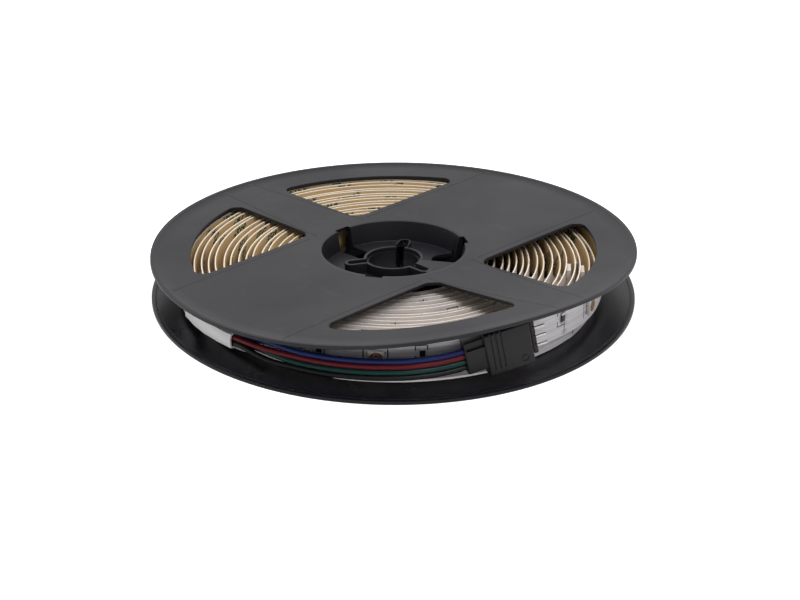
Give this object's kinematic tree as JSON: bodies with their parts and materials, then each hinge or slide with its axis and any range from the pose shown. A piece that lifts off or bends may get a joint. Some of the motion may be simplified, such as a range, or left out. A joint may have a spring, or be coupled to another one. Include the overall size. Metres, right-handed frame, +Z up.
{
  "type": "led strip light reel",
  "caption": "Flat two-part plastic reel holding a wound LED light strip with its paper liner, wire lead and flat connector.",
  "frame": {"origin": "centre of the lower flange's underside, where the reel rests on a table", "axes": "+Z up along the reel's axis, -Y towards the near side where the lead and its connector lie, +X to the right"},
  "size_m": [0.15, 0.15, 0.0223],
  "materials": {
    "reel_plastic": "fine matte grain",
    "reel_inner_plastic": "satin",
    "strip_board": "white solder mask",
    "liner_paper": "kraft",
    "led_case": "moulded",
    "chip": "satin",
    "sleeve": "heat-shrunk",
    "wire_blue": "satin",
    "wire_red": "satin",
    "wire_green": "satin",
    "wire_black": "satin",
    "connector_plastic": "moulded",
    "pin_metal": "tinned"
  },
  "bodies": {
    "root": {"connector_housing": "connector_plastic", "header_pin_1": "pin_metal", "header_pin_2": "pin_metal", "header_pin_3": "pin_metal", "header_pin_4": "pin_metal", "led_1": "led_case", "led_2": "led_case", "led_3": "led_case", "led_4": "led_case", "led_5": "led_case", "led_6": "led_case", "led_7": "led_case", "led_8": "led_case", "led_9": "led_case", "light_strip": "strip_board", "lower_reel_half": "reel_inner_plastic", "pin_header": "connector_plastic", "release_liner": "liner_paper", "resistor_1": "chip", "resistor_2": "chip", "resistor_3": "chip", "resistor_4": "chip", "resistor_5": "chip", "resistor_6": "chip", "resistor_7": "chip", "resistor_8": "chip", "resistor_9": "chip", "solder_sleeve": "sleeve", "upper_reel_half": "reel_plastic", "wire_black": "wire_black", "wire_blue": "wire_blue", "wire_green": "wire_green", "wire_red": "wire_red"}
  },
  "joints": []
}
